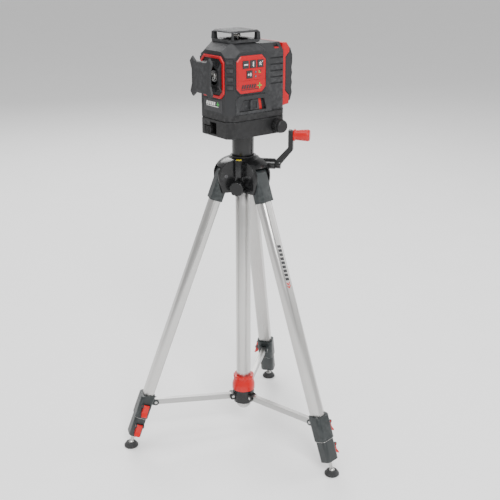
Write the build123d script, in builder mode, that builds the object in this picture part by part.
"""Cross-line laser level screwed on a folding, crank-up tripod. Millimetres, +Z up, floor at Z = 0."""
from build123d import *
from math import cos, radians, sin
import os

os.makedirs("parts", exist_ok=True)

# ---- Fits and gaps -------------------------------------------------------------------------
FIT = 0.05            # radial running clearance of pins, shafts and bores
GAP = 0.3             # free space between moving pieces
SEAT = 0.05           # joint gap between pieces of one body

# ---- Tripod: driving dimensions ---------------------------------------------------------------
LEG_AZIMUTHS = (-82, 38, 158)
LEAN = 20             # leg angle from the vertical
PIVOT_R, PIVOT_Z = 34, 492          # leg-top pivot, from the tripod's axis and the floor
BALL_Z, BALL_R = 7.5, 5             # ball on the end of the leg, inside the rubber foot
BRACE_S, BRACE_LUG = 428, 18        # brace pin: distance down the leg, distance inwards from its axis
BRACE_DIP = 4                       # the braces fall this many degrees towards the hub
HUB_PIN_R = 21.5
PIN_R = 2.5
TUBE_R, TUBE_WALL = 12.8, 1.2
HEAD_BOTTOM, HEAD_TOP = 464, 521
NECK_R, NECK_Z = 18.25, 523.3
DISC_R, DISC_T, DISC_TOP = 25, 4.5, 560.5
STUD_R, STUD_UP = 7.9, 12.5         # 5/8"-11 stud
POST_R, POST_BOTTOM = 10, 190
CRANK_AZIMUTH, CRANK_Z, CRANK_OFFSET = -48, 505, 16
CRANK_RISE, CRANK_OUT = 50, 21      # the grip's axis above the shaft, the arm's step outwards
FRONT_AZIMUTH = -142                # between two legs: vial and lock knob
LEG_W, LEG_D, LEG_WALL = 24, 17, 1.3
LEG_STEP = LEG_WALL + 0.4           # each inner tube is this much smaller all round

# ---- Tripod: derived places --------------------------------------------------------------------
lean = radians(LEAN)
BALL_S = (PIVOT_Z - BALL_Z) / cos(lean)
FOOT_R = PIVOT_R + BALL_S * sin(lean)
BRACE_PIN_R = PIVOT_R + BRACE_S * sin(lean) - BRACE_LUG * cos(lean)
BRACE_PIN_Z = PIVOT_Z - BRACE_S * cos(lean) - BRACE_LUG * sin(lean)
BRACE_LENGTH = (BRACE_PIN_R - HUB_PIN_R) / cos(radians(BRACE_DIP))
HUB_Z = BRACE_PIN_Z - BRACE_LENGTH * sin(radians(BRACE_DIP))
# The tripod's axis stands where the three feet are centred on the origin.
AXIS_X = -FOOT_R * (cos(radians(LEG_AZIMUTHS[1])) + cos(radians(LEG_AZIMUTHS[2]))) / 2
AXIS_Y = -FOOT_R * (sin(radians(LEG_AZIMUTHS[1])) + sin(radians(LEG_AZIMUTHS[0]))) / 2

# ---- Level: driving dimensions, from the middle of its base's underside ------------------------
LEVEL_Z = DISC_TOP + 0.1
LEVEL_X, LEVEL_Y = 118, 86          # base length and depth
CORNER = 11                         # 45 degree corners
BASE_H, RING_TOP = 27.5, 38
WALL_TOP, ROOF_TOP = 135.5, 147
BLOCK_X0, BLOCK_X1 = -59, 21        # main block
SIDE_X1, SIDE_Y = 53, 38            # battery-side block
SHELL = 3
CAGE_X, CAGE_HALF, CAGE_TOP = -13.5, 28.5, 165
WINDOW_Y, WINDOW_Z = 0, 96          # middle of the side window
BEZEL_Y, BEZEL_Z = 62, 66
GUARD_X, GUARD_T = -83, 3
CONE_R = 6
PANEL_X, PANEL_Z, PANEL_SIZE = -17, 100.5, 58
BUTTON = 11.6
SLIDER_Z, SLIDER_TRAVEL = 52.5, 9
KNOB_X, KNOB_Z, KNOB_R, KNOB_L = 36, 13.5, 11.3, 17
FRONT_Y = -LEVEL_Y / 2


def finish(builder, label):
    """Name a finished piece and write it."""
    builder.part.label = label
    export_step(builder.part, f"parts/{label}.step")


def spot(radius, azimuth, height):
    """A point given from the tripod's axis."""
    angle = radians(azimuth)
    return (AXIS_X + radius * cos(angle), AXIS_Y + radius * sin(angle), height)


def radial(azimuth, tilt=0):
    """Unit vector pointing away from the axis, raised by tilt degrees."""
    angle, rise = radians(azimuth), radians(tilt)
    return (cos(angle) * cos(rise), sin(angle) * cos(rise), sin(rise))


def tangent(azimuth):
    return radial(azimuth + 90)


def level(x, y, z):
    """A point of the level, from the middle of its base's underside."""
    return (AXIS_X + x, AXIS_Y + y, LEVEL_Z + z)


def leg_plane(azimuth, along, inward=0):
    """Square to a leg: x across the leg, y away from the tripod's axis, z down the leg."""
    down = radial(azimuth, LEAN - 90)
    out = radial(azimuth, LEAN)
    top = spot(PIVOT_R, azimuth, PIVOT_Z)
    origin = [top[i] + along * down[i] - inward * out[i] for i in range(3)]
    return Plane(origin=origin, x_dir=tangent(azimuth), z_dir=down)


def leg_side_plane(azimuth, along, inward=0):
    """Parallel to a leg, seen along its tangent: x down the leg, y inwards, z along the tangent."""
    down = radial(azimuth, LEAN - 90)
    return Plane(origin=leg_plane(azimuth, along, inward).origin, x_dir=down, z_dir=tangent(azimuth))


def leg_face_plane(azimuth, along, side=0):
    """Seen from outside a leg: x down the leg, z away from the tripod's axis."""
    base = leg_plane(azimuth, along)
    origin = base.origin + base.x_dir * side
    return Plane(origin=origin, x_dir=base.z_dir, z_dir=base.y_dir)


def leg_outline(inset=0):
    """D-shaped section of a leg tube: round towards the outside, flat with small corners inside."""
    half_depth = (LEG_D - 2 * inset) / 2
    with BuildSketch(mode=Mode.PRIVATE) as outline:
        Rectangle(LEG_W - 2 * inset, LEG_D - 2 * inset)
        fillet(outline.vertices().filter_by(lambda v: v.Y > 0), radius=min(half_depth * 0.95, 7.5 - inset))
        fillet(outline.vertices().filter_by(lambda v: v.Y < -half_depth + 0.01), radius=2.6 - inset * 0.4)
    add(outline.sketch)


def block_outline(x0, x1, depth, corner):
    """Level outline seen from above, with 45 degree corners."""
    with BuildSketch(mode=Mode.PRIVATE) as outline:
        with Locations(((x0 + x1) / 2, 0)):
            Rectangle(x1 - x0, depth)
        chamfer(outline.vertices(), length=corner)
    add(outline.sketch)


def front_plane(x, y, z):
    """Faces the keypad side: x to the right, y up, z towards the user."""
    return Plane(origin=level(x, y, z), x_dir=(1, 0, 0), z_dir=(0, -1, 0))


def back_plane(x, y, z):
    """Faces away from the keypad side."""
    return Plane(origin=level(x, y, z), x_dir=(-1, 0, 0), z_dir=(0, 1, 0))


def window_plane(x, y, z):
    """Faces the side window: x towards the keypad side, y up, z out of the window."""
    return Plane(origin=level(x, y, z), x_dir=(0, -1, 0), z_dir=(-1, 0, 0))


def flat_plane(x, y, z):
    return Plane(origin=level(x, y, z))


# =============================================================================================
# Tripod head
# =============================================================================================
def crank_plane(out, rise=0):
    """Square to the crank's shaft, z away from the head along the shaft."""
    across = spot(CRANK_OFFSET, CRANK_AZIMUTH + 90, CRANK_Z + rise)
    along = radial(CRANK_AZIMUTH)
    origin = [across[i] + out * along[i] for i in range(3)]
    return Plane(origin=origin, x_dir=tangent(CRANK_AZIMUTH), z_dir=along)


LOBE_W, LOBE_R = 38, 49
YOKE_W, YOKE_D = 28, 22
SHAFT_R, PINION_R = 4, 5.7
BOSS_OUT = 52
KNOB_BOSS_Z = 474

with BuildPart() as head_casting:
    with BuildSketch(Plane(origin=spot(0, 0, HEAD_BOTTOM))):
        Circle(27)
        for azimuth in LEG_AZIMUTHS:
            with Locations(Rotation(0, 0, azimuth)):
                with Locations((LOBE_R / 2, 0)):
                    RectangleRounded(LOBE_R, LOBE_W, 7)
    extrude(amount=HEAD_TOP - HEAD_BOTTOM)
    # The dome falls away from the neck to a shoulder above each leg.
    with BuildSketch(Plane(origin=spot(0, 0, 0), x_dir=(1, 0, 0), z_dir=(0, -1, 0))):
        with BuildLine():
            shoulder = Polyline((0, HEAD_BOTTOM), (44, HEAD_BOTTOM), (LOBE_R, PIVOT_Z - 6), (LOBE_R, PIVOT_Z + 3))
            dome = ThreePointArc(shoulder @ 1, (40, PIVOT_Z + 19.5), (24, HEAD_TOP - 2))
            Polyline(dome @ 1, (22, HEAD_TOP), (0, HEAD_TOP), (0, HEAD_BOTTOM))
        make_face()
    revolve(axis=Axis(spot(0, 0, 0), (0, 0, 1)), mode=Mode.INTERSECT)
    with BuildSketch(Plane(origin=spot(0, 0, HEAD_TOP - 2))):
        Circle(21.5)
    extrude(amount=NECK_Z - GAP - HEAD_TOP + 2)
    # Crank boss, lock-knob boss and vial seat.
    with BuildSketch(crank_plane(-14)):
        Circle(9)
    extrude(amount=BOSS_OUT + 14)
    with BuildSketch(Plane(origin=spot(20, FRONT_AZIMUTH, KNOB_BOSS_Z), z_dir=radial(FRONT_AZIMUTH))):
        Circle(8)
    extrude(amount=11)
    with BuildSketch(Plane(origin=spot(27.5, FRONT_AZIMUTH, HEAD_BOTTOM + 27))):
        Circle(7)
    extrude(amount=HEAD_TOP - 2 - HEAD_BOTTOM - 27)
    # A slot per leg, open outwards and downwards, takes the yoke.
    for azimuth in LEG_AZIMUTHS:
        with BuildSketch(Plane(origin=spot(0, 0, HEAD_BOTTOM - 1))):
            with Locations(Rotation(0, 0, azimuth)):
                with Locations(((18.5 + LOBE_R + 5) / 2, 0)):
                    Rectangle(LOBE_R + 5 - 18.5, YOKE_W + 2 * GAP)
        extrude(amount=PIVOT_Z + 14.5 - HEAD_BOTTOM + 1, mode=Mode.SUBTRACT)
        with BuildSketch(Plane(origin=spot(PIVOT_R, azimuth, PIVOT_Z), z_dir=tangent(azimuth))):
            Circle(PIN_R + 0.5 + FIT)
        extrude(amount=LOBE_W / 2 + 1, both=True, mode=Mode.SUBTRACT)
    # Bores: centre tube, column, crank shaft with its pinion chamber, lock screw, vial.
    with BuildSketch(Plane(origin=spot(0, 0, HEAD_BOTTOM - 1))):
        Circle(TUBE_R + SEAT)
    extrude(amount=32, mode=Mode.SUBTRACT)
    with BuildSketch(Plane(origin=spot(0, 0, HEAD_BOTTOM))):
        Circle(POST_R + FIT)
    extrude(amount=80, mode=Mode.SUBTRACT)
    with BuildSketch(crank_plane(-10)):
        Circle(SHAFT_R + FIT)
    extrude(amount=BOSS_OUT + 20, mode=Mode.SUBTRACT)
    with BuildSketch(crank_plane(-9)):
        Circle(PINION_R + GAP)
    extrude(amount=18, mode=Mode.SUBTRACT)
    with BuildSketch(Plane(origin=spot(9, FRONT_AZIMUTH, KNOB_BOSS_Z), z_dir=radial(FRONT_AZIMUTH))):
        Circle(3 + FIT)
    extrude(amount=30, mode=Mode.SUBTRACT)
    with BuildSketch(Plane(origin=spot(27.5, FRONT_AZIMUTH, HEAD_TOP - 6))):
        Circle(5)
    extrude(amount=10, mode=Mode.SUBTRACT)
finish(head_casting, "head_casting")

with BuildPart() as bubble_vial:
    with BuildSketch(Plane(origin=spot(27.5, FRONT_AZIMUTH, HEAD_TOP - 6 + SEAT))):
        Circle(5 - SEAT)
    extrude(amount=5)
    fillet(bubble_vial.edges().group_by(Axis.Z)[-1], radius=1.6)
finish(bubble_vial, "bubble_vial")

with BuildPart() as head_pins:
    for azimuth in LEG_AZIMUTHS:
        with BuildSketch(Plane(origin=spot(PIVOT_R, azimuth, PIVOT_Z), z_dir=tangent(azimuth))):
            Circle(PIN_R + 0.5)
        extrude(amount=LOBE_W / 2 + 0.4, both=True)
finish(head_pins, "head_pins")

with BuildPart() as centre_tube:
    with BuildSketch(Plane(origin=spot(0, 0, HUB_Z - 18))):
        Circle(TUBE_R)
        Circle(TUBE_R - TUBE_WALL, mode=Mode.SUBTRACT)
    extrude(amount=HEAD_BOTTOM + 30.9 - HUB_Z + 18)
finish(centre_tube, "centre_tube")

with BuildPart() as tube_end_cap:
    with BuildSketch(Plane(origin=spot(0, 0, HUB_Z), x_dir=(1, 0, 0), z_dir=(0, -1, 0))):
        with BuildLine():
            rim = Polyline((0, -12), (TUBE_R - TUBE_WALL - SEAT, -12), (TUBE_R - TUBE_WALL - SEAT, -18 - SEAT),
                           (TUBE_R, -18 - SEAT), (TUBE_R, -20))
            bowl = RadiusArc(rim @ 1, (0, -28), 14.24)
            Line(bowl @ 1, (0, -12))
        make_face()
    revolve(axis=Axis(spot(0, 0, 0), (0, 0, 1)))
finish(tube_end_cap, "tube_end_cap")

with BuildPart() as column_post:
    with BuildSketch(Plane(origin=spot(0, 0, POST_BOTTOM))):
        Circle(POST_R)
        Circle(POST_R - 2, mode=Mode.SUBTRACT)
    extrude(amount=NECK_Z + 12 - POST_BOTTOM)
finish(column_post, "column_post")

with BuildPart() as column_head:
    with BuildSketch(Plane(origin=spot(0, 0, 0), x_dir=(1, 0, 0), z_dir=(0, -1, 0))):
        with BuildLine():
            Polyline((0, NECK_Z), (NECK_R, NECK_Z), (NECK_R, DISC_TOP - DISC_T - 2),
                     (NECK_R + 2, DISC_TOP - DISC_T), (DISC_R - 0.6, DISC_TOP - DISC_T),
                     (DISC_R, DISC_TOP - DISC_T + 0.6), (DISC_R, DISC_TOP - 0.6), (DISC_R - 0.6, DISC_TOP),
                     (11.5, DISC_TOP), (11.5, DISC_TOP - 3), (0, DISC_TOP - 3), (0, NECK_Z))
        make_face()
    revolve(axis=Axis(spot(0, 0, 0), (0, 0, 1)))
    with BuildSketch(Plane(origin=spot(0, 0, NECK_Z - 1))):
        Circle(POST_R + SEAT)
    extrude(amount=13 + SEAT, mode=Mode.SUBTRACT)
    with BuildSketch(Plane(origin=spot(0, 0, DISC_TOP - 15))):
        Circle(STUD_R + SEAT)
    extrude(amount=20, mode=Mode.SUBTRACT)
finish(column_head, "column_head")

with BuildPart() as mount_stud:
    with BuildSketch(Plane(origin=spot(0, 0, DISC_TOP - 15 + SEAT))):
        Circle(STUD_R)
    extrude(amount=15 + STUD_UP)
    chamfer(mount_stud.edges().group_by(Axis.Z)[-1], length=1.2)
finish(mount_stud, "mount_stud")

# ---- Crank: shaft, pinion and arm in one piece; the grip spins on it ---------------------------
ARM_W, ARM_T = 11, 8
GRIP_L = 27

with BuildPart() as crank_handle:
    with BuildSketch(crank_plane(-8.5)):
        Circle(PINION_R)
    extrude(amount=17)
    with BuildSketch(crank_plane(-9.5)):
        Circle(SHAFT_R)
    extrude(amount=BOSS_OUT + 14)
    with BuildSketch(crank_plane(BOSS_OUT + GAP)):
        Circle(8)
    extrude(amount=ARM_T + 1)
    # The arm steps outwards at about 45 degrees, then rises to the grip.
    start, knee, top = BOSS_OUT + GAP + 4.5, BOSS_OUT + GAP + 4.5 + CRANK_OUT, CRANK_RISE
    with BuildSketch(Plane(origin=crank_plane(0).origin, x_dir=radial(CRANK_AZIMUTH),
                           z_dir=tangent(CRANK_AZIMUTH + 180))):
        with BuildLine():
            Polyline((start - 4, 0), (start + 5, 0), (knee + 4, 25), (knee + 4, top + 5), (knee + 1, top + 8),
                     (knee - 4, top + 8), (knee - 4, 29), (start - 4, 6), (start - 4, 0))
        make_face()
    extrude(amount=ARM_W / 2, both=True)
    with BuildSketch(crank_plane(knee, CRANK_RISE)):
        Circle(3)
    extrude(amount=GRIP_L + 2.5)
finish(crank_handle, "crank_handle")

with BuildPart() as crank_grip:
    grip_start = BOSS_OUT + GAP + 4.5 + CRANK_OUT + 4 + GAP
    with BuildSketch(Plane(origin=crank_plane(grip_start, CRANK_RISE).origin, x_dir=radial(CRANK_AZIMUTH),
                           z_dir=tangent(CRANK_AZIMUTH + 180))):
        with BuildLine():
            Polyline((0, 3 + FIT), (0, 9.6), (2, 10.2), (4, 8.4), (GRIP_L - 3, 9.8), (GRIP_L, 8.6),
                     (GRIP_L, 0), (GRIP_L - 1.5, 0), (GRIP_L - 1.5, 3 + FIT), (0, 3 + FIT))
        make_face()
    revolve(axis=Axis(crank_plane(0, CRANK_RISE).origin, radial(CRANK_AZIMUTH)))
    for turn in range(8):
        flute = crank_plane(grip_start + 6, CRANK_RISE)
        with BuildSketch(flute):
            with PolarLocations(10.6, 1, start_angle=turn * 45):
                Circle(1.7)
        extrude(amount=GRIP_L - 5, mode=Mode.SUBTRACT)
finish(crank_grip, "crank_grip")

with BuildPart() as column_lock_knob:
    with BuildSketch(Plane(origin=spot(TUBE_R + 0.5, FRONT_AZIMUTH, KNOB_BOSS_Z), z_dir=radial(FRONT_AZIMUTH))):
        Circle(3)
    extrude(amount=24)
    with BuildSketch(Plane(origin=spot(31 + GAP, FRONT_AZIMUTH, KNOB_BOSS_Z), z_dir=radial(FRONT_AZIMUTH))):
        Circle(12)
        with PolarLocations(12.6, 10):
            Circle(1.6, mode=Mode.SUBTRACT)
    extrude(amount=13)
    fillet(column_lock_knob.faces().sort_by(Axis(spot(0, 0, 0), radial(FRONT_AZIMUTH)))[-1].edges(), radius=1.2)
finish(column_lock_knob, "column_lock_knob")

# =============================================================================================
# Spreader: hub, twist collar and braces
# =============================================================================================
BRACE_W, BRACE_H = 8, 10
EAR_GAP = BRACE_W + 0.5
EAR_T = 3.2
HUB_R, HUB_LOW, HUB_HIGH = 19.5, 13, 13

with BuildPart() as spreader_hub:
    with BuildSketch(Plane(origin=spot(0, 0, HUB_Z - HUB_LOW))):
        Circle(HUB_R)
    extrude(amount=HUB_LOW + HUB_HIGH)
    chamfer(spreader_hub.edges().group_by(Axis.Z)[0], length=2)
    for azimuth in LEG_AZIMUTHS:
        with BuildSketch(Plane(origin=spot(0, azimuth, HUB_Z), x_dir=radial(azimuth), z_dir=tangent(azimuth + 180))):
            with Locations((15, 0)):
                Rectangle(14, 12)
            with Locations((HUB_PIN_R, 0)):
                Circle(6)
        extrude(amount=EAR_GAP / 2 + EAR_T, both=True)
    for azimuth in LEG_AZIMUTHS:
        with BuildSketch(Plane(origin=spot(0, azimuth, HUB_Z), x_dir=radial(azimuth), z_dir=tangent(azimuth + 180))):
            with Locations(((16.2 + 34) / 2, (BRACE_H / 2 + 0.6 - HUB_LOW - 1) / 2)):
                Rectangle(34 - 16.2, BRACE_H / 2 + 0.6 + HUB_LOW + 1)
        extrude(amount=EAR_GAP / 2, both=True, mode=Mode.SUBTRACT)
        with BuildSketch(Plane(origin=spot(HUB_PIN_R, azimuth, HUB_Z), z_dir=tangent(azimuth))):
            Circle(PIN_R + FIT)
        extrude(amount=12, both=True, mode=Mode.SUBTRACT)
    with BuildSketch(Plane(origin=spot(0, 0, HUB_Z - HUB_LOW - 1))):
        Circle(TUBE_R + FIT)
    extrude(amount=HUB_LOW + HUB_HIGH + 2, mode=Mode.SUBTRACT)
finish(spreader_hub, "spreader_hub")

with BuildPart() as lock_collar:
    with BuildSketch(Plane(origin=spot(0, 0, HUB_Z + HUB_HIGH + GAP), x_dir=(1, 0, 0), z_dir=(0, -1, 0))):
        with BuildLine():
            Polyline((TUBE_R + FIT, 0), (20.5, 0), (20.5, 9), (17.2, 21), (18.4, 23), (18.4, 27),
                     (TUBE_R + FIT, 27), (TUBE_R + FIT, 0))
        make_face()
    revolve(axis=Axis(spot(0, 0, 0), (0, 0, 1)))
    with BuildSketch(Plane(origin=spot(0, 0, HUB_Z + HUB_HIGH + GAP + 20))):
        with PolarLocations(20.4, 9):
            Circle(3.4)
    extrude(amount=10, mode=Mode.SUBTRACT)
finish(lock_collar, "lock_collar")

for number, azimuth in enumerate(LEG_AZIMUTHS, start=1):
    side = Plane(origin=spot(HUB_PIN_R, azimuth, HUB_Z), x_dir=radial(azimuth, BRACE_DIP),
                 z_dir=tangent(azimuth + 180))
    with BuildPart() as brace:
        with BuildSketch(side):
            with Locations((BRACE_LENGTH / 2, 0)):
                SlotCenterToCenter(BRACE_LENGTH, BRACE_H)
        extrude(amount=BRACE_W / 2, both=True)
        # The bar is a channel, open underneath, between its two solid eyes.
        with BuildSketch(side):
            with Locations((BRACE_LENGTH / 2, -1)):
                Rectangle(BRACE_LENGTH - 18, BRACE_H - 0.6)
        extrude(amount=BRACE_W / 2 - 1.1, both=True, mode=Mode.SUBTRACT)
        with BuildSketch(side):
            with Locations((0, 0), (BRACE_LENGTH, 0)):
                Circle(PIN_R)
        extrude(amount=EAR_GAP / 2 + EAR_T, both=True)
    finish(brace, f"brace_{number}")

# =============================================================================================
# Legs
# =============================================================================================
UPPER_S0, UPPER_S1 = 414, 459
LOWER_S0, LOWER_S1 = 460, 497
LEVER_W, LEVER_L = 10, 19
LEVER_PIN_R, LEVER_OFF, EAR_LEVER_T = 1.4, 2.9, 2.6


def clamp_collar(azimuth, along, length, side, depth, rim, lever_along):
    """Collar round a leg tube with a slanted top rim and two ears for a flip lever on its flank."""
    with BuildPart() as collar:
        with BuildSketch(leg_plane(azimuth, along)):
            with Locations((0, 0.5)):
                RectangleRounded(2 * side, depth, 6)
        extrude(amount=length)
        if rim:
            with BuildSketch(leg_side_plane(azimuth, along)):
                with BuildLine():
                    Polyline((-1, -depth), (rim, -depth), (-1, depth * 0.2), (-1, -depth))
                make_face()
            extrude(amount=side + 1, both=True, mode=Mode.SUBTRACT)
        for face in (LEVER_W / 2 + GAP, -LEVER_W / 2 - GAP - EAR_LEVER_T):
            with BuildSketch(leg_face_plane(azimuth, lever_along, side + LEVER_OFF).offset(face)):
                Circle(3.2)
                with Locations((0, -2.4)):
                    Rectangle(6.4, 4.8)
            extrude(amount=EAR_LEVER_T)
        with BuildSketch(leg_face_plane(azimuth, lever_along, side + LEVER_OFF).offset(-9)):
            Circle(LEVER_PIN_R + FIT)
        extrude(amount=18, mode=Mode.SUBTRACT)
    return collar.part


def flip_lever(azimuth, along, side, label):
    """Hooked lever that lies along the clamp's flank and swings out from its upper end."""
    face = leg_face_plane(azimuth, along, side + LEVER_OFF)
    with BuildPart() as lever:
        with BuildSketch(face):
            Circle(2.5)
            with BuildLine():
                Polyline((0, -2.5), (0, 2.5), (11, 3), (LEVER_L - 2, 6.4), (LEVER_L, 5.2), (14, -1.2), (9, -2.5),
                         (0, -2.5))
            make_face()
        extrude(amount=LEVER_W / 2, both=True)
        with BuildSketch(face):
            Circle(LEVER_PIN_R)
        extrude(amount=LEVER_W / 2 + GAP + 2.4, both=True)
    finish(lever, label)


UPPER_SIDE, LOWER_SIDE = 15, 13.5   # half widths of the clamps
HOOK_R, HOOK_LOW, HOOK_HIGH = PIN_R + 0.65, 127, 149   # seat radius and the mouth's two edges, degrees

for number, azimuth in enumerate(LEG_AZIMUTHS, start=1):
    with BuildPart() as leg_yoke:
        with BuildSketch(leg_plane(azimuth, -9)):
            RectangleRounded(YOKE_W, YOKE_D, 5)
        extrude(amount=54)
        # Round the top about the pivot, so that the yoke turns inside the head.
        with BuildSketch(leg_side_plane(azimuth, 0)):
            Rectangle(120, 60)
            Circle(YOKE_D / 2, mode=Mode.SUBTRACT)
            with Locations((40, 0)):
                Rectangle(80, YOKE_D + 2, mode=Mode.SUBTRACT)
        extrude(amount=YOKE_W, both=True, mode=Mode.SUBTRACT)
        # Hook slot: the pin seats at the pivot and leaves upwards and inwards.
        with BuildSketch(leg_side_plane(azimuth, 0)):
            Circle(HOOK_R)
            with BuildLine():
                near, far = Vector(HOOK_R, 0), Vector(24, 0)
                first = near.rotate(Axis.Z, HOOK_LOW - 90)
                last = near.rotate(Axis.Z, HOOK_HIGH + 90)
                Polyline(first, first + far.rotate(Axis.Z, HOOK_LOW), last + far.rotate(Axis.Z, HOOK_HIGH), last,
                         close=True)
            make_face()
        extrude(amount=YOKE_W, both=True, mode=Mode.SUBTRACT)
        with BuildSketch(leg_plane(azimuth, 20)):
            leg_outline(-SEAT)
        extrude(amount=30, mode=Mode.SUBTRACT)
    finish(leg_yoke, f"leg_yoke_{number}")

    with BuildPart() as leg_tube:
        with BuildSketch(leg_plane(azimuth, 20 + SEAT)):
            leg_outline()
            with BuildSketch(mode=Mode.PRIVATE) as hollow:
                leg_outline(LEG_WALL)
            add(hollow.sketch, mode=Mode.SUBTRACT)
        extrude(amount=UPPER_S1 - 12 - 20)
    finish(leg_tube, f"leg_tube_{number}")

    collar = clamp_collar(azimuth, UPPER_S0, UPPER_S1 - UPPER_S0, UPPER_SIDE, 24, 9, UPPER_S0 + 20)
    with BuildPart() as upper_clamp:
        add(collar)
        with BuildSketch(leg_side_plane(azimuth, BRACE_S, BRACE_LUG)):
            Circle(5.4)
            with Locations((0, -5)):
                Rectangle(10.8, 10)
        extrude(amount=EAR_GAP / 2 + EAR_T, both=True)
        with BuildSketch(leg_side_plane(azimuth, BRACE_S, BRACE_LUG)):
            with Locations((0, 0.6)):
                Rectangle(24, 11.5)
        extrude(amount=EAR_GAP / 2, both=True, mode=Mode.SUBTRACT)
        with BuildSketch(leg_side_plane(azimuth, BRACE_S, BRACE_LUG)):
            Circle(PIN_R + FIT)
        extrude(amount=12, both=True, mode=Mode.SUBTRACT)
        with BuildSketch(leg_plane(azimuth, UPPER_S0 - 5)):
            leg_outline(-SEAT)
        extrude(amount=UPPER_S1 - 12 - UPPER_S0 + 5 + SEAT, mode=Mode.SUBTRACT)
        with BuildSketch(leg_plane(azimuth, UPPER_S1 - 15)):
            leg_outline(LEG_STEP - GAP)
        extrude(amount=20, mode=Mode.SUBTRACT)
    finish(upper_clamp, f"upper_clamp_{number}")
    flip_lever(azimuth, UPPER_S0 + 20, UPPER_SIDE, f"upper_lever_{number}")

    # Middle section: the second tube with the lower clamp on its end.
    collar = clamp_collar(azimuth, LOWER_S0, LOWER_S1 - LOWER_S0, LOWER_SIDE, 21.5, 0, LOWER_S0 + 14)
    with BuildPart() as leg_middle:
        add(collar)
        with BuildSketch(leg_plane(azimuth, 60)):
            leg_outline(LEG_STEP)
        extrude(amount=LOWER_S0 + 6 - 60)
        with BuildSketch(leg_plane(azimuth, 59)):
            leg_outline(2 * LEG_STEP - GAP)
        extrude(amount=LOWER_S1 - 58, mode=Mode.SUBTRACT)
    finish(leg_middle, f"leg_middle_{number}")
    flip_lever(azimuth, LOWER_S0 + 14, LOWER_SIDE, f"lower_lever_{number}")

    # Lower section: the inner tube, its end plug and the rod with the ball.
    with BuildPart() as leg_lower:
        with BuildSketch(leg_plane(azimuth, 80)):
            leg_outline(2 * LEG_STEP)
            with BuildSketch(mode=Mode.PRIVATE) as hollow:
                leg_outline(2 * LEG_STEP + 1.2)
            add(hollow.sketch, mode=Mode.SUBTRACT)
        extrude(amount=LOWER_S1 - 8 - 80)
        with BuildSketch(leg_plane(azimuth, LOWER_S1 - 9)):
            leg_outline(2 * LEG_STEP)
        extrude(amount=11.5)
        with BuildSketch(leg_plane(azimuth, LOWER_S1)):
            Circle(3)
        extrude(amount=BALL_S - LOWER_S1)
        add(Sphere(BALL_R, mode=Mode.PRIVATE).locate(Location(spot(FOOT_R, azimuth, BALL_Z))))
    finish(leg_lower, f"leg_lower_{number}")

    with BuildPart() as foot_pad:
        with BuildSketch(Plane(origin=spot(FOOT_R, azimuth, 0), x_dir=(1, 0, 0), z_dir=(0, -1, 0))):
            with BuildLine():
                Polyline((0, 0), (11.7, 0), (12.5, 0.8), (12.5, 3), (10.4, 5.2), (9.2, 7.6), (8.2, 8.5),
                         (0, 8.5), (0, 0))
            make_face()
        revolve(axis=Axis(spot(FOOT_R, azimuth, 0), (0, 0, 1)))
        add(Sphere(BALL_R + 2 * FIT, mode=Mode.PRIVATE).locate(Location(spot(FOOT_R, azimuth, BALL_Z))),
            mode=Mode.SUBTRACT)
    finish(foot_pad, f"foot_pad_{number}")

# =============================================================================================
# Level: base
# =============================================================================================
BORE_R, BORE_DEPTH = STUD_R + FIT, STUD_UP + 2
SMALL_BORE_R, SMALL_BORE_X = 3.175, -36   # 1/4"-20 hole, clear of the tripod's disc

with BuildPart() as level_base:
    with BuildSketch(flat_plane(0, 0, 0)):
        block_outline(-LEVEL_X / 2, LEVEL_X / 2, LEVEL_Y, CORNER)
    extrude(amount=BASE_H)
    chamfer(level_base.edges().group_by(Axis.Z)[0], length=1.5)
    chamfer(level_base.edges().group_by(Axis.Z)[-1], length=1)
    for x, radius, depth in ((0, BORE_R, BORE_DEPTH), (SMALL_BORE_X, SMALL_BORE_R, 9)):
        with BuildSketch(flat_plane(x, 0, -1)):
            Circle(radius)
        extrude(amount=depth + 1, mode=Mode.SUBTRACT)
    # Turntable post and the fine-adjust spindle's bore.
    with BuildSketch(flat_plane(0, 0, BASE_H - 1)):
        Circle(17)
    extrude(amount=7)
    with BuildSketch(front_plane(KNOB_X, FRONT_Y + 22, KNOB_Z)):
        Circle(4 + FIT)
    extrude(amount=30, mode=Mode.SUBTRACT)
    with BuildSketch(front_plane(KNOB_X, FRONT_Y + 3, KNOB_Z)):
        Circle(9)
    extrude(amount=6, mode=Mode.SUBTRACT)
    # Latch pocket under the window and the ribbed thumb latch in front of it.
    with BuildSketch(window_plane(-LEVEL_X / 2 + 10, 1, 13.5)):
        Rectangle(17, 19)
    extrude(amount=12, mode=Mode.SUBTRACT)
    with BuildSketch(window_plane(-LEVEL_X / 2 + 3, 16, 9)):
        Rectangle(19, 15)
    extrude(amount=4, mode=Mode.SUBTRACT)
    for rib in range(5):
        with BuildSketch(window_plane(-LEVEL_X / 2 + 3.5, 9 + rib * 3.6, 8.5)):
            Rectangle(1.9, 13)
        extrude(amount=3.9)
finish(level_base, "level_base")

with BuildPart() as fine_adjust_knob:
    with BuildSketch(front_plane(KNOB_X, FRONT_Y + 20, KNOB_Z)):
        Circle(4)
    extrude(amount=22)
    with BuildSketch(front_plane(KNOB_X, FRONT_Y - GAP, KNOB_Z)):
        Circle(KNOB_R)
        with PolarLocations(KNOB_R + 0.7, 20):
            Circle(1.3, mode=Mode.SUBTRACT)
    extrude(amount=KNOB_L - 6)
    with BuildSketch(front_plane(KNOB_X, FRONT_Y - GAP - KNOB_L + 6, KNOB_Z)):
        Circle(KNOB_R - 0.9)
    extrude(amount=6)
    fillet(fine_adjust_knob.faces().sort_by(Axis.Y)[0].edges(), radius=3.2)
finish(fine_adjust_knob, "fine_adjust_knob")

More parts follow.
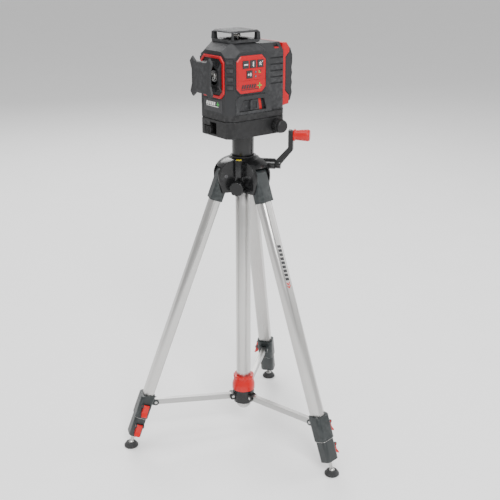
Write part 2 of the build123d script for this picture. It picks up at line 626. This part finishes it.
with BuildPart() as turn_ring:
    with BuildSketch(flat_plane(0, 0, BASE_H + GAP)):
        block_outline(-LEVEL_X / 2, LEVEL_X / 2, LEVEL_Y, CORNER)
    extrude(amount=RING_TOP - SEAT - BASE_H - GAP)
    chamfer(turn_ring.edges().group_by(Axis.Z)[0], length=1)
    with BuildSketch(flat_plane(0, 0, BASE_H)):
        Circle(17 + FIT)
    extrude(amount=6 + GAP, mode=Mode.SUBTRACT)
finish(turn_ring, "turn_ring")

# =============================================================================================
# Level: body
# =============================================================================================
ROOF_TAPER = 55.1
RECESS = 2.2          # the keypad panel's seat
BUTTON_SPOTS = {
    "button_horizontal": (-29, 116),
    "button_vertical": (-14.5, 116),
    "button_power_boost": (0, 116),
    "button_outdoor": (-21.5, 100.5),
}
DIVIDER_Z = 91.5      # groove under the keys
FRAME_W, FRAME_T = 2, 1.4
FACET_Z, FACET_TILT = 127, 40.4
INNER_CORNER = 8                    # the chamber's corners are cut this much more, to stay under the facets
COVER_X, COVER_Z, COVER_W, COVER_H, COVER_SEAT = -19, 86, 64, 86, 2
SLOT_X = -14                        # middle of the pendulum lock's recess
LOCK_X = SLOT_X - SLIDER_TRAVEL / 2 + 1
BUTTON_DEPTH = 4
BAR_COUNT, BAR_PITCH, BAR_H, BAR_W, BAR_T = 4, 13, 7.5, 12, 2.2   # bars on the 45 degree corners
GROOVE_COUNT, GROOVE_PITCH, GROOVE_Z, GROOVE_H = 5, 10, 80, 2.2  # grooves in the battery-side block
GROOVE_L, GROOVE_DEPTH = 25, 1.5

with BuildPart() as body_shell:
    with BuildSketch(flat_plane(0, 0, RING_TOP)):
        block_outline(BLOCK_X0, BLOCK_X1, LEVEL_Y, CORNER)
    extrude(amount=WALL_TOP - RING_TOP)
    with BuildSketch(flat_plane(0, 0, WALL_TOP)):
        block_outline(BLOCK_X0, BLOCK_X1, LEVEL_Y, CORNER)
    extrude(amount=ROOF_TOP - WALL_TOP, taper=ROOF_TAPER)
    # Large sloping facets where the 45 degree corners meet the roof.
    for y, azimuth in ((-1, 225), (1, 135)):
        corner = level(BLOCK_X0 + CORNER / 2, y * (LEVEL_Y / 2 - CORNER / 2), FACET_Z)
        with BuildSketch(Plane(origin=corner, x_dir=tangent(azimuth), z_dir=radial(azimuth, FACET_TILT))):
            Rectangle(60, 60)
        extrude(amount=20, mode=Mode.SUBTRACT)
    # Low frame round the keypad panel.
    with BuildSketch(front_plane(PANEL_X, FRONT_Y + 1, PANEL_Z)) as frame:
        Rectangle(PANEL_SIZE + 2 * FRAME_W, PANEL_SIZE + 2 * FRAME_W)
        chamfer(frame.vertices(), length=9)
    extrude(amount=FRAME_T + 1, taper=20)
    # Battery-side block, a little lower and set back, with sloped shoulders.
    with BuildSketch(Plane(origin=level(BLOCK_X1 - 12, 0, 0), x_dir=(0, 1, 0), z_dir=(1, 0, 0))):
        with BuildLine():
            Polyline((-SIDE_Y, RING_TOP), (SIDE_Y, RING_TOP), (SIDE_Y, 131), (SIDE_Y - 11, 144),
                     (-SIDE_Y + 11, 144), (-SIDE_Y, 131), (-SIDE_Y, RING_TOP))
        make_face()
    extrude(amount=SIDE_X1 - BLOCK_X1 + 12)
    for groove in range(GROOVE_COUNT):
        for y in (-SIDE_Y, SIDE_Y):
            with BuildSketch(flat_plane((BLOCK_X1 + SIDE_X1) / 2 + 2, y, GROOVE_Z + groove * GROOVE_PITCH)):
                Rectangle(GROOVE_L, 2 * GROOVE_DEPTH)
            extrude(amount=GROOVE_H, mode=Mode.SUBTRACT)
    # Lower skirt: a raised apron on the keypad side round the pendulum lock.
    with BuildSketch(front_plane(0, FRONT_Y + 1, 0)):
        with BuildLine():
            Polyline((-48, RING_TOP), (-48, 62), (-40, 69), (12, 69), (26, 58), (26, RING_TOP), (-48, RING_TOP))
        make_face()
    extrude(amount=3, taper=25)
    # Corner bars on each 45 degree face at the window's end.
    for x, y, turn in ((BLOCK_X0, -1, 225), (BLOCK_X0, 1, 135)):
        middle = level(x + CORNER / 2, y * (LEVEL_Y / 2 - CORNER / 2), 82)
        face = Plane(origin=middle, x_dir=(0, 0, 1), z_dir=radial(turn))
        for bar in range(BAR_COUNT):
            with BuildSketch(face.offset(-0.5)):
                with Locations((bar * BAR_PITCH, 0)):
                    Rectangle(BAR_H, BAR_W)
            extrude(amount=BAR_T + 0.5, taper=15)
    # Inside: the pendulum's chamber, its openings and the seats of panel, lock and back cover.
    with BuildSketch(flat_plane(0, 0, RING_TOP + SHELL)):
        block_outline(BLOCK_X0 + SHELL, BLOCK_X1 - SHELL, LEVEL_Y - 2 * SHELL - 6, CORNER + INNER_CORNER)
    extrude(amount=WALL_TOP - RING_TOP - SHELL, mode=Mode.SUBTRACT)
    with BuildSketch(flat_plane(CAGE_X, 0, WALL_TOP - 2)):
        Circle(12)
    extrude(amount=20, mode=Mode.SUBTRACT)
    with BuildSketch(window_plane(BLOCK_X0 + 6, WINDOW_Y, WINDOW_Z)):
        Circle(14)
    extrude(amount=8, mode=Mode.SUBTRACT)
    with BuildSketch(window_plane(BLOCK_X0 + 1.6, WINDOW_Y, WINDOW_Z)) as seat:
        Rectangle(BEZEL_Y - 9, BEZEL_Z - 9)
        chamfer(seat.vertices(), length=7)
    extrude(amount=8, mode=Mode.SUBTRACT)
    with BuildSketch(front_plane(PANEL_X, FRONT_Y + RECESS, PANEL_Z)) as seat:
        Rectangle(PANEL_SIZE + 2 * SEAT, PANEL_SIZE + 2 * SEAT)
        chamfer(seat.vertices(), length=8)
    extrude(amount=8, mode=Mode.SUBTRACT)
    for x, z in BUTTON_SPOTS.values():
        with BuildSketch(front_plane(x, FRONT_Y + 5, z)):
            Rectangle(BUTTON + 2 * GAP, BUTTON + 2 * GAP)
        extrude(amount=6, mode=Mode.SUBTRACT)
    with BuildSketch(front_plane(SLOT_X, FRONT_Y + 3, SLIDER_Z)):
        with BuildLine():
            Polyline((-27, -9), (27, -9), (22, 9), (-19, 9), (-27, -9))
        make_face()
    extrude(amount=8, mode=Mode.SUBTRACT)
    with BuildSketch(back_plane(COVER_X, LEVEL_Y / 2, COVER_Z)):
        Rectangle(56, 78)
    extrude(amount=-9, mode=Mode.SUBTRACT)
    with BuildSketch(back_plane(COVER_X, LEVEL_Y / 2 - COVER_SEAT, COVER_Z)):
        RectangleRounded(COVER_W, COVER_H, 4)
    extrude(amount=4, mode=Mode.SUBTRACT)
    # Battery bay face and the release tab's shaft in the sloped shoulder.
    with BuildSketch(flat_plane(42, -SIDE_Y + 6.5, 128)):
        Rectangle(9, 6)
    extrude(amount=20, mode=Mode.SUBTRACT)
finish(body_shell, "body_shell")

with BuildPart() as back_cover:
    with BuildSketch(back_plane(COVER_X, LEVEL_Y / 2 - COVER_SEAT + SEAT, COVER_Z)):
        RectangleRounded(COVER_W - 2 * SEAT, COVER_H - 2 * SEAT, 4)
    extrude(amount=3)
    for rib in range(6):
        with BuildSketch(back_plane(COVER_X, LEVEL_Y / 2 + 1, COVER_Z - 28 + rib * 11)):
            Rectangle(46, 3)
        extrude(amount=1.6)
    with BuildSketch(back_plane(COVER_X, LEVEL_Y / 2 + 1, COVER_Z)):
        with GridLocations(55, 77, 2, 2):
            Circle(2.2)
    extrude(amount=-2, mode=Mode.SUBTRACT)
finish(back_cover, "back_cover")

with BuildPart() as battery_release:
    with BuildSketch(flat_plane(42, -SIDE_Y + 6.5, 128 + 3)):
        Rectangle(9 - 2 * GAP, 6 - 2 * GAP)
    extrude(amount=6)
finish(battery_release, "battery_release")

with BuildPart() as keypad_panel:
    with BuildSketch(front_plane(PANEL_X, FRONT_Y + RECESS - SEAT, PANEL_Z)) as outline:
        Rectangle(PANEL_SIZE, PANEL_SIZE)
        chamfer(outline.vertices(), length=8)
    extrude(amount=3.2)
    with BuildSketch(front_plane(PANEL_X, FRONT_Y + RECESS - SEAT - 3.2, PANEL_Z)) as outline:
        Rectangle(PANEL_SIZE, PANEL_SIZE)
        chamfer(outline.vertices(), length=8)
    extrude(amount=1.4, taper=50)
    for x, z in BUTTON_SPOTS.values():
        with BuildSketch(front_plane(x, FRONT_Y + 5, z)):
            Rectangle(BUTTON + 2 * GAP, BUTTON + 2 * GAP)
        extrude(amount=12, mode=Mode.SUBTRACT)
    with BuildSketch(front_plane(PANEL_X, FRONT_Y + RECESS - SEAT - 4.6 + 0.5, DIVIDER_Z)):
        Rectangle(PANEL_SIZE - 4, 0.9)
    extrude(amount=2, mode=Mode.SUBTRACT)
finish(keypad_panel, "keypad_panel")

BUTTON_FACE = FRONT_Y + RECESS - SEAT - 4.6 - 0.9
for label, (x, z) in BUTTON_SPOTS.items():
    with BuildPart() as button:
        with BuildSketch(front_plane(x, BUTTON_FACE + BUTTON_DEPTH, z)):
            RectangleRounded(BUTTON, BUTTON, 1.2)
        extrude(amount=BUTTON_DEPTH)
        chamfer(button.edges().group_by(Axis.Y)[0], length=0.4)
    finish(button, label)

with BuildPart() as lock_slider:
    with BuildSketch(front_plane(LOCK_X, FRONT_Y + 3 - GAP, SLIDER_Z)):
        with BuildLine():
            Polyline((-21, -8.4), (18, -8.4), (15.5, 8), (-13.7, 8), (-21, -8.4))
        make_face()
    extrude(amount=2.6)
    with BuildSketch(front_plane(LOCK_X, FRONT_Y + 3 - GAP - 2.6, SLIDER_Z)):
        Rectangle(4, 15)
    extrude(amount=2.4)
    for x in (-8, 8):
        with BuildSketch(front_plane(LOCK_X + x, FRONT_Y + 3 - GAP - 2.6 + 0.8, SLIDER_Z - 0.5)):
            RectangleRounded(9.5, 11, 1.2)
        extrude(amount=2, mode=Mode.SUBTRACT)
finish(lock_slider, "lock_slider")

# ---- Side window: red bezel, guard with the concave-sided cover plate --------------------------
with BuildPart() as window_bezel:
    with BuildSketch(window_plane(BLOCK_X0 - SEAT, WINDOW_Y, WINDOW_Z)) as outline:
        Rectangle(BEZEL_Y, BEZEL_Z)
        chamfer(outline.vertices(), length=9)
    extrude(amount=2.4, taper=18)
    with BuildSketch(window_plane(BLOCK_X0 + 2, WINDOW_Y, WINDOW_Z)) as outline:
        Rectangle(BEZEL_Y - 9, BEZEL_Z - 9)
        chamfer(outline.vertices(), length=7)
    extrude(amount=10, mode=Mode.SUBTRACT)
finish(window_bezel, "window_bezel")

with BuildPart() as side_guard:
    with BuildSketch(window_plane(BLOCK_X0 + 1.6 - SEAT, WINDOW_Y, WINDOW_Z)) as outline:
        Rectangle(BEZEL_Y - 9 - 2 * SEAT, BEZEL_Z - 9 - 2 * SEAT)
        chamfer(outline.vertices(), length=7)
        Circle(14, mode=Mode.SUBTRACT)
    extrude(amount=2)
    # Wedge cheeks beside the lens, thicker at their middle.
    for side in (-1, 1):
        cheek = level(BLOCK_X0 - 0.3, side * 20.5, WINDOW_Z)
        with BuildSketch(Plane(origin=cheek, x_dir=(0, 0, -side), z_dir=(0, side, 0))):
            with BuildLine():
                Polyline((-21.5, 0), (21.5, 0), (12, 7), (-12, 7), (-21.5, 0))
            make_face()
        extrude(amount=4.5)
    # Two stays carry the plate above and below the lens.
    for side in (-1, 1):
        with BuildSketch(window_plane(BLOCK_X0 - 0.3, WINDOW_Y, WINDOW_Z + side * 21)):
            Rectangle(15, 6)
        extrude(amount=-GUARD_X + BLOCK_X0 - 0.3)
    with BuildSketch(window_plane(GUARD_X + GUARD_T, WINDOW_Y, WINDOW_Z)):
        with BuildLine():
            corners = [(23, 32), (30, 24), (25, 11), (25, -11), (30, -24), (23, -32), (14, -25), (-14, -25),
                       (-23, -32), (-30, -24), (-25, -11), (-25, 11), (-30, 24), (-23, 32), (-14, 25), (14, 25)]
            Polyline(*corners, close=True)
        make_face()
    extrude(amount=GUARD_T, taper=25)
finish(side_guard, "side_guard")

# ---- Top cage -------------------------------------------------------------------------------------
PILLAR_OUT, PILLAR_SLIM, PILLAR_BROAD = 28, 3.8, 7.5
CAGE_FOOT_H = 4

with BuildPart() as top_cage:
    with BuildSketch(flat_plane(CAGE_X, 0, ROOF_TOP + SEAT)) as foot:
        Rectangle(2 * CAGE_HALF + 4, 2 * CAGE_HALF + 4)
        chamfer(foot.vertices(), length=8)
        Circle(20, mode=Mode.SUBTRACT)
    extrude(amount=CAGE_FOOT_H)
    with BuildSketch(flat_plane(CAGE_X, 0, CAGE_TOP - 3)) as lid:
        Rectangle(2 * CAGE_HALF, 2 * CAGE_HALF)
        chamfer(lid.vertices(), length=6)
    extrude(amount=1.2)
    with BuildSketch(flat_plane(CAGE_X, 0, CAGE_TOP - 1.8)) as lid:
        Rectangle(2 * CAGE_HALF, 2 * CAGE_HALF)
        chamfer(lid.vertices(), length=6)
    extrude(amount=1.8, taper=55)
    # Corner pillars lean slightly in towards the lid: slim at the viewed corner and opposite, broad beside.
    for side_x in (-1, 1):
        for side_y in (-1, 1):
            width = PILLAR_SLIM if side_x == side_y else PILLAR_BROAD
            out = PILLAR_OUT - width / 2
            with BuildSketch(flat_plane(CAGE_X + side_x * out, side_y * out, ROOF_TOP + CAGE_FOOT_H - 0.5)):
                Rectangle(width, width)
            extrude(amount=CAGE_TOP - 2.5 - ROOF_TOP - CAGE_FOOT_H + 0.5, taper=3)
finish(top_cage, "top_cage")

# ---- Pendulum: gimbal ring, laser block and its two glass cones ---------------------------------
GIMBAL_Z = 122
with BuildPart() as gimbal_ring:
    with BuildSketch(flat_plane(CAGE_X, 0, GIMBAL_Z - 3)):
        Circle(27)
        Circle(23, mode=Mode.SUBTRACT)
    extrude(amount=6)
finish(gimbal_ring, "gimbal_ring")

with BuildPart() as laser_pendulum:
    with BuildSketch(flat_plane(CAGE_X, 0, GIMBAL_Z - 3)):
        Circle(20)
    extrude(amount=6)
    with BuildSketch(flat_plane(CAGE_X, 0, 60)):
        RectangleRounded(34, 30, 5)
    extrude(amount=GIMBAL_Z - 60)
    with BuildSketch(flat_plane(CAGE_X, 0, GIMBAL_Z)):
        Circle(9)
    extrude(amount=24)
    with BuildSketch(window_plane(CAGE_X, WINDOW_Y, WINDOW_Z)):
        Circle(9)
    extrude(amount=-BLOCK_X0 + CAGE_X - 2)
finish(laser_pendulum, "laser_pendulum")

with BuildPart() as laser_cones:
    for start in (flat_plane(CAGE_X, 0, GIMBAL_Z + 24 + SEAT), window_plane(BLOCK_X0 + 2 - SEAT, WINDOW_Y, WINDOW_Z)):
        with BuildSketch(start):
            Circle(CONE_R)
        extrude(amount=12)
finish(laser_cones, "laser_cones")

# =============================================================================================
# Battery
# =============================================================================================
BATTERY_Y = 36
BATTERY_X0 = SIDE_X1 + GAP


def battery_outline(points, depth, label):
    """Side outline extruded across the battery, its long edges broken."""
    with BuildPart() as piece:
        with BuildSketch(Plane(origin=level(0, 0, 0), x_dir=(1, 0, 0), z_dir=(0, -1, 0))):
            with BuildLine():
                Polyline(*points, close=True)
            make_face()
        extrude(amount=depth, both=True)
        chamfer(piece.faces().sort_by(Axis.Y)[0].edges(), length=1.6)
        chamfer(piece.faces().sort_by(Axis.Y)[-1].edges(), length=1.6)
    finish(piece, label)


STEP_X, GRIP_X, END_X = 60.5, 68.5, 77
battery_outline([(BATTERY_X0, 42), (GRIP_X, 44), (GRIP_X, 58), (STEP_X, 66), (STEP_X, 120), (GRIP_X, 128),
                 (GRIP_X, 135), (GRIP_X - 6, 143), (BATTERY_X0, 143)], BATTERY_Y, "battery_case")
g = SEAT
battery_outline([(STEP_X + g, 66 + g), (GRIP_X + g, 58 + g), (GRIP_X + g, 47), (END_X - 4, 49), (END_X, 62),
                 (END_X - 1.6, 70), (END_X, 78), (END_X - 1.6, 86), (END_X, 94), (END_X - 1.6, 102),
                 (END_X, 110), (END_X, 122), (END_X - 5, 134), (GRIP_X + g, 134), (GRIP_X + g, 128 - g),
                 (STEP_X + g, 120 - g)], BATTERY_Y - 2, "battery_grip")

print("axis", round(AXIS_X, 3), round(AXIS_Y, 3), "foot radius", round(FOOT_R, 2))
print("hub", round(HUB_Z, 3), "brace pin", round(BRACE_PIN_R, 3), round(BRACE_PIN_Z, 3), "length", round(BRACE_LENGTH, 3))
